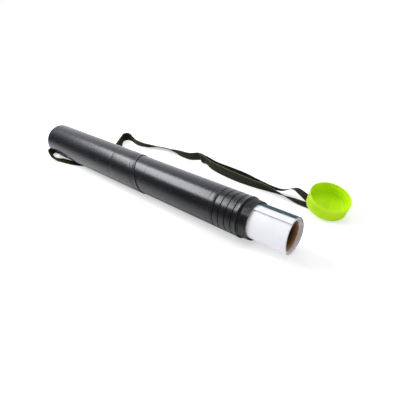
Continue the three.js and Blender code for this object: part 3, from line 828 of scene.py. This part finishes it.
def bracket_loop(base):
    """A bar bent up, across and down; base is the number of its first point."""
    half, top, bend, foot = 14.1, CROSSBAR_HEIGHT, 2.2, 1.4
    size = 16
    squareness = 3.2
    shoulder = top - bend
    path = [(-half, z) for z in np.linspace(foot, shoulder, 6)]
    path += [(-half + bend - bend * math.cos(t), shoulder + bend * math.sin(t))
             for t in np.linspace(0.2, math.pi / 2, 6)]
    path += [(y, top) for y in np.linspace(-half + 3, half - 3, 11)]
    path += [(half - bend + bend * math.cos(t), shoulder + bend * math.sin(t))
             for t in np.linspace(math.pi / 2, 0.2, 6)]
    path += [(half, z) for z in np.linspace(shoulder, foot, 6)]
    path = np.array(path)
    co = []
    for centre, tangent in zip(path, unit_rows(np.gradient(path, axis=0))):
        normal = np.array([-tangent[1], tangent[0]])
        crossbar = abs(tangent[0])  # 1 on the crossbar, 0 on the legs
        half_width, half_depth = 1.6, 1.25 + 0.15 * crossbar
        for j in range(size):
            c, s = math.cos(TAU * j / size), math.sin(TAU * j / size)
            k = superellipse(c, s, squareness)
            q = centre + normal * (half_depth * k * s)
            co.append((half_width * k * c, q[0], q[1]))
    faces = tube_faces(len(path), size, base, flip=True) + end_faces(len(path), size, base)
    return co, faces


def bracket(name, origin, out, bar, body, node):
    """Plate and loop; out: away from the closed face; bar: the crossbar's direction."""
    co, faces = bracket_plate()
    loop_co, loop_faces = bracket_loop(len(co))
    matrix = placement(np.cross(bar, out), bar, out, origin)
    co = place(np.array(co + loop_co), matrix)
    ob = make_outward(name, co, faces + loop_faces, MOULDED, sharp=40)
    stand_for(ob, body, "moulded_plastic", node)


def retainer(name, out, side, origin, body, node):
    """The ring round a stub, over the bracket's plate."""
    profile = [
        (2.75, 3.15), (2.75, 5.4), (2.95, 5.75), (3.7, 5.75),
        (4.15, 5.3), (4.35, 4.6), (4.35, 3.4), (4.2, 3.15),
    ]
    ob = lathe(name, profile, MOULDED, segments=64, to=turning_frame(out, side, origin))
    stand_for(ob, body, "moulded_plastic", node)


# ------------------------------------------------------------------ webbing
def spline(stations, step):
    """Centripetal Catmull-Rom through the stations, sampled about every step mm."""
    q = np.array(stations, float)
    q = np.vstack([2 * q[0] - q[1], q, 2 * q[-1] - q[-2]])
    pieces = []
    for i in range(1, len(q) - 2):
        p0, p1, p2, p3 = points = q[i - 1 : i + 3]
        times = [0.0]
        for a, b in zip(points, points[1:]):
            times.append(times[-1] + max(np.linalg.norm((b - a)[:3]), 1e-6) ** 0.5)
        t0, t1, t2, t3 = times
        count = max(2, int(np.linalg.norm((p2 - p1)[:3]) / 0.5))
        t = np.linspace(t1, t2, count, endpoint=False)[:, None]

        def between(a, b, ta, tb):
            return (tb - t) / (tb - ta) * a + (t - ta) / (tb - ta) * b

        a1, a2, a3 = between(p0, p1, t0, t1), between(p1, p2, t1, t2), between(p2, p3, t2, t3)
        pieces.append(between(between(a1, a2, t0, t2), between(a2, a3, t1, t3), t1, t2))
    pieces.append(q[-2][None])
    dense = np.concatenate(pieces)
    steps = np.linalg.norm(np.diff(dense[:, :3], axis=0), axis=1)
    length = np.concatenate([[0], np.cumsum(steps)])
    count = max(2, int(round(length[-1] / step)))
    along = np.linspace(0, length[-1], count + 1)
    return along, np.stack([np.interp(along, length, dense[:, k]) for k in range(6)], 1)


def webbing(name, stations, seed, step=1.1):
    """A strip along stations of centre x, y, z and width direction x, y, z."""
    along, sampled = spline(stations, step)
    centre = sampled[:, :3]
    tangent = unit_rows(np.gradient(centre, axis=0))
    across = sampled[:, 3:]
    across = across - np.einsum("ij,ij->i", across, tangent)[:, None] * tangent
    across = unit_rows(across)
    normal = np.cross(tangent, across)

    # section: shallow ribs, and thicker rolled edges that round off at the ends
    half = WEB_WIDTH / 2
    v = np.linspace(-1, 1, 33)
    rib = 0.045 * np.abs(np.sin(v * half / 3.0 * math.pi))
    rolled_edge = 0.10 * np.exp(-(((np.abs(v) - 0.93) / 0.05) ** 2))
    thick = WEB_THICK / 2 - 0.12 + rib + rolled_edge
    rounding = np.clip((np.abs(v) - 0.955) / 0.05, 0, 1) ** 2
    thick = thick * np.sqrt(np.clip(1 - rounding, 0.02, 1))

    # slow waviness of the edges and cupping of the width
    phase = np.random.default_rng(seed).normal(size=4)
    wave = 0.10 * (np.sin(along / 17 + phase[0]) + 0.6 * np.sin(along / 7.3 + phase[1]))
    cup = 0.25 * np.sin(along / 41 + phase[2])

    ring_v = np.concatenate([v, v[::-1]])
    ring_n = np.concatenate([thick, -thick[::-1]])
    cupping = cup[:, None] * (ring_v**2)[None, :] * 0.5
    waving = wave[:, None] * (np.abs(ring_v) ** 3 * np.sign(ring_v))[None, :] * 0.4
    height = ring_n[None, :] + cupping + waving
    co = (
        centre[:, None, :]
        + across[:, None, :] * (ring_v * half)[None, :, None]
        + normal[:, None, :] * height[:, :, None]
    )
    rings, size = len(along), len(ring_v)
    faces = [f[::-1] for f in tube_faces(rings, size)] + end_faces(rings, size)
    attributes = {
        "su": np.repeat(along * MM, size),
        "sv": np.tile(ring_v * half * MM, rings),
        # edge marks where the painted highlight along the rolled edges goes
        "edge": np.tile(np.clip((np.abs(ring_v) - 0.93) / 0.05, 0, 1), rings),
    }
    return make_outward(name, co.reshape(-1, 3), faces, WEB, sharp=60, attributes=attributes)


# the slider's own axes: along the strap, across it, and out towards the front
SLIDER_CENTRE = np.array([343.5, 216.0, EDGE_Z + 3.2])
SLIDER_ALONG = np.array([0.98, -0.13, 0.0])
SLIDER_ALONG /= np.linalg.norm(SLIDER_ALONG)
SLIDER_ACROSS = np.array([0.1, -0.28, 0.95])
SLIDER_ACROSS -= SLIDER_ACROSS @ SLIDER_ALONG * SLIDER_ALONG
SLIDER_ACROSS /= np.linalg.norm(SLIDER_ACROSS)
SLIDER_OUT = np.cross(SLIDER_ALONG, SLIDER_ACROSS)


def at_slider(along, out):
    """A webbing station given from the slider's centre."""
    return [*(SLIDER_CENTRE + SLIDER_ALONG * along + SLIDER_OUT * out), *SLIDER_ACROSS]


def strap_run():
    """From a tail at the base bracket, round its crossbar, under the tube to the slider."""
    stations = [
        # tail, turn round the crossbar, and down
        [-7.0, -1, -38.0, 0, 1, 0], [-6.6, -0.5, -30.0, 0, 1, 0],
        [-6.6, 0, -23.0, 0, 1, 0], [-7.0, 0, -19.4, 0, 1, 0],
        [-9.3, 0, -17.3, 0, 1, 0], [-11.6, 0, -19.4, 0, 1, 0],
        [-11.9, 0, -23.0, 0, 1, 0], [-12.9, -2.6, -29.6, -0.05, 1, -0.05],
        [-15.5, -10, -33.4, -0.3, 0.88, -0.36], [-15, -20.5, -33.4, -0.42, 0.68, -0.6],
        [-8.5, -31.5, -32.8, -0.25, 0.62, -0.74], [4, -38, -32.9, 0, 0.64, -0.77],
        [18, -41, -34.4, 0.1, 0.75, -0.63], [32, -40, -37.6, 0.17, 0.9, -0.38],
        # flat on the floor under the tube
        [50, -31, FLAT_Z + 0.6, 0.3, 0.95, -0.05], [72, -25, FLAT_Z, 0.1, 1, 0],
        [100, -16, FLAT_Z, -0.35, 0.93, 0], [124, 0, FLAT_Z, -0.7, 0.7, 0],
        [134, 35, FLAT_Z, -1, 0.05, 0], [118, 85, FLAT_Z + 2.2, -0.85, -0.4, 0.3],
        # up on its edge, turning back towards the mouth
        [98, 115, EDGE_Z - 5, -0.6, -0.3, 0.75], [74, 145, EDGE_Z - 1, -0.35, -0.15, 0.93],
        [48, 172, EDGE_Z, -0.1, 0, 1], [34, 190, EDGE_Z, -0.05, 0, 1],
        [36, 203, EDGE_Z, 0, -0.05, 1], [52, 203, EDGE_Z, 0, -0.12, 1],
        [76, 194, EDGE_Z, 0, -0.25, 0.97], [107, 187, EDGE_Z - 1, 0.1, -0.45, 0.88],
        [135, 193, EDGE_Z - 3, 0.2, -0.65, 0.73], [161, 211, EDGE_Z - 5.5, 0.36, -0.8, 0.48],
        [192, 221, EDGE_Z - 6, 0.38, -0.8, 0.47], [224, 218, EDGE_Z - 5, 0.3, -0.75, 0.58],
        [263, 211, EDGE_Z - 2, 0.1, -0.45, 0.88], [303, 210.5, EDGE_Z, 0.05, -0.3, 0.95],
        at_slider(-16, -2.4), at_slider(-8, -2.35), at_slider(0.3, -2.35),
    ]
    ob = webbing("strap_run", stations, seed=3)
    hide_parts("strap_main")
    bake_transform(ob)


def strap_doubled():
    """From the slider to the cap bracket, round its crossbar, and back to the slider."""
    bar = CAP_BASE - CAP_OPEN * CROSSBAR_HEIGHT

    def turn(dx, dz):
        return [bar[0] + dx, bar[1], bar[2] + dz, *(-BAR_DIR)]

    stations = [
        at_slider(4.3, -0.4), at_slider(6.2, 1.6), at_slider(9.0, 2.4), at_slider(15, 2.2),
        [380, 205, EDGE_Z, 0, -0.16, 0.98], [405, 197, EDGE_Z, 0, -0.12, 0.99],
        [452, 188.5, EDGE_Z, 0, -0.1, 0.99], [492, 184, EDGE_Z, 0, -0.15, 0.98],
        [537, 184, EDGE_Z - 1, 0, -0.35, 0.93], [572, 187, EDGE_Z - 2, 0, -0.5, 0.86],
        [603, 190, EDGE_Z - 5.5, 0, -0.75, 0.65], [632, 191, FLAT_Z + 3.2, 0, -0.96, 0.28],
        [656, 191, FLAT_Z + 1.0, 0, -1, 0.05], [690, 191, FLAT_Z + 1.1, -0.04, -0.99, -0.07],
        turn(-8, -3.5), turn(0, -3.2), turn(3.4, 0), turn(0, 3.2), turn(-10, 4.6),
        [680, 192, -30, 0, -1, 0], [656, 196, -21.0, 0, -1, 0.05],
        [637, 199, -16.8, 0.05, -0.97, 0.2], [617, 200, -24.5, 0.12, -0.93, 0.32],
        [600, 199, -30.5, 0.12, -0.80, 0.58], [583, 197, EDGE_Z - 1, 0.05, -0.72, 0.68],
        [541, 194.5, EDGE_Z, 0, -0.35, 0.93], [500, 200.5, EDGE_Z, 0, -0.15, 0.98],
        [450, 205, EDGE_Z, 0, -0.12, 0.99], [400, 209, EDGE_Z, 0, -0.12, 0.99],
        at_slider(17, -2.6), at_slider(8, -2.35), at_slider(0.3, -2.35),
    ]
    ob = webbing("strap_doubled", stations, seed=5)
    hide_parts("strap_loop")
    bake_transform(ob)


def slider_wrap():
    """The turn of webbing over the slider's middle bar."""
    # along, out
    turn = [(-3.9, -1.5), (-3.3, 0.6), (-1.7, 2.0), (0, 2.3), (1.7, 2.0), (3.3, 0.6), (3.9, -1.5)]
    stations = [at_slider(along, out) for along, out in turn]
    stand_for(webbing("slider_wrap", stations, seed=9, step=0.6), "slider", "webbing")


def slider():
    """A rounded rectangular frame with a middle bar across it."""
    size = 20
    squareness = 3.5
    co, faces = [], []

    def bar(path, half_width, half_depth, closed):
        base = len(co)
        points = np.array(path, float)
        count = len(points)
        for k in range(count):
            before = points[(k - 1) % count] if closed else points[max(k - 1, 0)]
            after = points[(k + 1) % count] if closed else points[min(k + 1, count - 1)]
            tangent = (after - before) / np.linalg.norm(after - before)
            normal = np.array([-tangent[1], tangent[0]])
            for j in range(size):
                c, s = math.cos(TAU * j / size), math.sin(TAU * j / size)
                scale = superellipse(c, s, squareness)
                q = points[k] + normal * (half_width * scale * c)
                co.append((q[0], q[1], half_depth * scale * s))
        faces.extend(tube_faces(count, size, base, closed=closed))
        if not closed:
            faces.extend(end_faces(count, size, base))

    half_x, half_y, corner = 8.15, 13.65, 2.2
    x, y = half_x - corner, half_y - corner
    outline = []
    for cx, cy, start in ((x, y, 0), (-x, y, 90), (-x, -y, 180), (x, -y, 270)):
        for t in np.linspace(start, start + 90, 7):
            a = math.radians(t)
            outline.append((cx + corner * math.cos(a), cy + corner * math.sin(a)))
    bar(outline, half_width=1.35, half_depth=1.2, closed=True)
    middle = [(0.0, y) for y in np.linspace(-13.6, 13.6, 15)]
    bar(middle, half_width=1.3, half_depth=1.05, closed=False)

    matrix = placement(SLIDER_ALONG, SLIDER_ACROSS, SLIDER_OUT, SLIDER_CENTRE)
    ob = make_outward("slider_frame", place(np.array(co), matrix), faces, MOULDED, sharp=45)
    stand_for(ob, "slider", "moulded_plastic", "strap_slider")


# ------------------------------------------------------------------ rolled drawings
def rolled(name, r_from, r_to, turns, thick, x_rear, x_front, start_deg, mats, drift, slot,
           node, lift=0.0):
    """A sheet rolled into a spiral.

    mats: face, cut edge and, if it differs, the outer free edge, which may carry a painted
    shadow. drift: how unevenly the turns end in X. lift: how far the free edge springs out.
    """
    n = int(turns * 96) + 1
    t = math.radians(start_deg) + np.linspace(0, TAU * turns, n)
    s = np.linspace(0, 1, n)
    r = r_from + (r_to - r_from - thick) * s
    r = r + lift * np.exp(-(((1 - s) * turns * 360 / 14.0) ** 2))
    phase = np.random.default_rng(len(name)).uniform(0, TAU, 4)
    wave = 0.10 * np.sin(2 * t + phase[0]) + 0.07 * np.sin(3 * t + phase[1])
    xs = np.concatenate([
        [x_rear], np.linspace(x_rear + 40, x_front - 60, 6),
        np.linspace(x_front - 40, x_front, 7),
    ])
    co = []
    for x in xs:
        near_front = np.clip((x - (x_front - 90)) / 90, 0, 1)
        uneven = 0.5 * np.sin(t * 0.37 + phase[2]) + 0.5 * (s - 0.5) * 2
        front = (x == x_front) * drift * uneven
        rear = (x == x_rear) * drift * 0.6 * np.sin(t * 0.31 + phase[3])
        radius = r + wave * (0.5 + near_front)
        # the front end is not square to the axis: its +Y side stands further in
        askew = (x == x_front) * -4.2 * (1 + np.cos(t) * radius / 33.0)
        x_end = x + front + rear + askew
        for offset in (0.0, thick):
            q = radius + offset
            co.append(np.stack([x_end, q * np.cos(t), q * np.sin(t)], 1))

    def point(i, side, k):
        """Point k of the spiral at station i; side 0 is the inner face, 1 the outer."""
        return (i * 2 + side) * n + k

    faces, index = [], []
    last = len(xs) - 1
    for i in range(last):
        for k in range(n - 1):
            faces.append((point(i, 1, k), point(i, 1, k + 1),
                          point(i + 1, 1, k + 1), point(i + 1, 1, k)))
            faces.append((point(i, 0, k), point(i + 1, 0, k),
                          point(i + 1, 0, k + 1), point(i, 0, k + 1)))
            index += [0, 0]
        for k, free in ((0, False), (n - 1, True)):
            face = (point(i, 0, k), point(i, 1, k), point(i + 1, 1, k), point(i + 1, 0, k))
            faces.append(face[::-1] if free else face)
            index.append(2 if free and len(mats) > 2 else 1)
    for k in range(n - 1):
        faces.append((point(0, 0, k), point(0, 0, k + 1), point(0, 1, k + 1), point(0, 1, k)))
        faces.append((point(last, 0, k), point(last, 1, k),
                      point(last, 1, k + 1), point(last, 0, k + 1)))
        index += [1, 1]
    ob = make_outward(name, np.concatenate(co), faces, mats, sharp=50, index=index)
    stand_for(ob, "drawings", slot, node)


def drawings():
    """White drawings, a kraft sheet inside them and a teal one partly round them."""
    white_turns, white_free_edge = 6.38, 117
    rolled("white_drawings", r_from=28.2, r_to=33.0, turns=white_turns, thick=0.30,
           x_rear=ROLL_START, x_front=ROLL_END,
           start_deg=white_free_edge - white_turns * 360 % 360,
           mats=(WHITE, WHITE_EDGE, WHITE_FREE_EDGE_SHADOW), drift=0.9,
           slot="white_paper", node="white_roll", lift=1.6)
    rolled("kraft_sheet", r_from=25.1, r_to=27.9, turns=3.6, thick=0.34,
           x_rear=ROLL_START + 2, x_front=ROLL_END - 5.5, start_deg=40,
           mats=(KRAFT, KRAFT_EDGE), drift=1.2, slot="kraft_paper", node="kraft_roll")
    teal_from, teal_to = -75, 91
    rolled("teal_wrap", r_from=33.35, r_to=34.3, turns=(teal_to - teal_from) / 360.0,
           thick=0.45, x_rear=ROLL_START + 1, x_front=ROLL_END + 0.4, start_deg=teal_from,
           mats=(TEAL, TEAL_EDGE), drift=0.5, slot="teal_paper", node="teal_sheet", lift=0.25)


# ------------------------------------------------------------------ floor, light, camera
def floor_material(centre_x):
    mat, n = material("studio_floor")
    x, y, _ = n.separate(n.coord())
    x_squared = n.math("POWER", n.math("SUBTRACT", x, centre_x), 2.0)
    far = n.math("SQRT", n.math("ADD", x_squared, n.math("POWER", y, 2.0)))
    away = n.ramp(n.mul(far, 0.1), [(0.06, 0), (0.30, 1)])
    # what glossy surfaces see of the floor falls off on the front side
    front = n.ramp(n.mul_add(y, times=1.0, plus=0.7), [
        (0.05, 0.02), (0.30, 0.05), (0.46, 0.14), (0.56, 0.40), (0.61, 0.78), (0.66, 1.0),
    ])
    rays = n.add("LightPath").outputs
    clouds = n.noise(n.coord(), scale=3, detail=2)
    white = n.mix(clouds, (0.93, 0.93, 0.93), (0.95, 0.95, 0.95))
    dimmed = n.mix(1.0, white, front, blend="MULTIPLY")
    seen = n.mix(rays["Is Glossy Ray"], white, dimmed)
    n.surface("Base Color", n.mix(rays["Is Camera Ray"], seen, (0.52, 0.52, 0.52)))
    # glow: stronger for the camera and far out, none for glossy rays
    n.surface("Emission Color", (1, 1, 1, 1))
    glow = n.mul_add(rays["Is Camera Ray"], times=0.42, plus=0.12)
    glow = n.mul_add(away, times=0.9, plus=glow)
    n.surface("Emission Strength", n.mul(glow, n.math("SUBTRACT", 1.0, rays["Is Glossy Ray"])))
    n.surface("Roughness", 0.7)
    n.surface("Specular IOR Level", 0.1)
    return mat


def studio_floor():
    half, centre_x, z = 25.0, 0.38, FLOOR_Z * MM
    mesh = bpy.data.meshes.new("studio_floor")
    corners = [(-1, -1), (1, -1), (1, 1), (-1, 1)]
    co = [(sx * half + centre_x, sy * half, z) for sx, sy in corners]
    mesh.from_pydata(co, [], [(0, 1, 2, 3)])
    floor = bpy.data.objects.new("studio_floor", mesh)
    scene.collection.objects.link(floor)
    mesh.materials.append(floor_material(centre_x))


def area(name, location, size_x, size_y, power, colour=(1, 1, 1), target=None):
    """A rectangular light, shining straight down unless it has a target."""
    light = bpy.data.lights.new(name, "AREA")
    light.shape = "RECTANGLE"
    light.size, light.size_y = size_x, size_y
    light.energy = power
    light.color = colour
    ob = bpy.data.objects.new(name, light)
    ob.location = location
    if target is not None:
        aim = Vector(target) - Vector(location)
        ob.rotation_euler = aim.to_track_quat("-Z", "Y").to_euler()
    scene.collection.objects.link(ob)


def room():
    """The camera sees white; other rays see a bright back, a dark front and a grey +X end."""
    world = bpy.data.worlds.new("studio")
    scene.world = world
    world.use_nodes = True
    world.node_tree.nodes.clear()
    n = Nodes(world.node_tree)
    output = n.add("OutputWorld")
    lighting = n.add("Background")
    backdrop = n.add("Background")
    switch = n.add("MixShader")
    rays = n.add("LightPath")
    x, y, z = n.separate(n.node("TexCoord", "Generated"))
    # angle about X as a fraction of a half turn: 0 at the back, 0.5 overhead, 1 at the front
    turn = n.math("DIVIDE", n.math("ARCTAN2", z, y), math.pi)
    ring = n.ramp(turn, [
        (0.0, (1.35, 1.38, 1.45)), (0.33, (0.98, 1.00, 1.06)), (0.45, (0.52, 0.53, 0.57)),
        (0.60, (0.30, 0.30, 0.33)), (0.72, (0.06, 0.06, 0.075)), (1.0, (0.015, 0.015, 0.02)),
    ])
    # 1 towards the closed end of the tube, 0 towards +X
    closed_end = n.ramp(n.mul_add(x, times=-0.5, plus=0.5), [(0.52, 0), (0.66, 1)])
    n.put(lighting.inputs["Color"], n.mix(closed_end, (0.58, 0.58, 0.59), ring))
    n.put(lighting.inputs["Strength"], 1.0)
    n.put(backdrop.inputs["Color"], (1, 1, 1, 1))
    n.put(backdrop.inputs["Strength"], 1.0)
    n.put(switch.inputs[0], rays.outputs["Is Camera Ray"])
    n.put(switch.inputs[1], lighting.outputs[0])
    n.put(switch.inputs[2], backdrop.outputs[0])
    n.put(output.inputs["Surface"], switch.outputs[0])


def camera():
    azimuth, elevation = math.radians(43.415), math.radians(26.6015)
    data = bpy.data.cameras.new("camera")
    data.sensor_width = 36
    data.lens = 36
    ob = bpy.data.objects.new("camera", data)
    scene.collection.objects.link(ob)
    # from the scene towards the camera
    back = Vector((
        math.sin(azimuth) * math.cos(elevation),
        -math.cos(azimuth) * math.cos(elevation),
        math.sin(elevation),
    ))
    ob.location = (1.02914, -0.51890, 0.35183)
    ob.rotation_mode = "QUATERNION"
    ob.rotation_quaternion = (-back).to_track_quat("-Z", "Y")
    scene.camera = ob


# ------------------------------------------------------------------ build
outer_tube()
base_plug()
inner_tube()
friction_ring()
collar()
collar_lugs()
cap()
bracket("base_bracket_loop", BASE_MOUNT, (-1, 0, 0), (0, 1, 0), "outer", "base_bracket")
bracket("cap_bracket_loop", CAP_BASE, -CAP_OPEN, BAR_DIR, "cap_swivel", "cap_bracket")
retainer("base_retainer_ring", (-1, 0, 0), (0, 1, 0), BASE_MOUNT, "outer", "base_retainer")
retainer("cap_retainer_ring", -CAP_OPEN, BAR_DIR, CAP_BASE, "cap", "cap_retainer")
strap_run()
strap_doubled()
slider_wrap()
slider()
drawings()

studio_floor()
area("key_top", (-0.78, -0.68, 1.2), size_x=1.1, size_y=1.30, power=50,
     colour=(0.96, 0.97, 1.0))
area("fill_top", (0.55, 0.25, 2.2), size_x=1.6, size_y=1.6, power=14,
     target=(0.40, 0.08, 0.0))
room()
camera()
scene.view_settings.view_transform = "Standard"
scene.view_settings.look = "None"
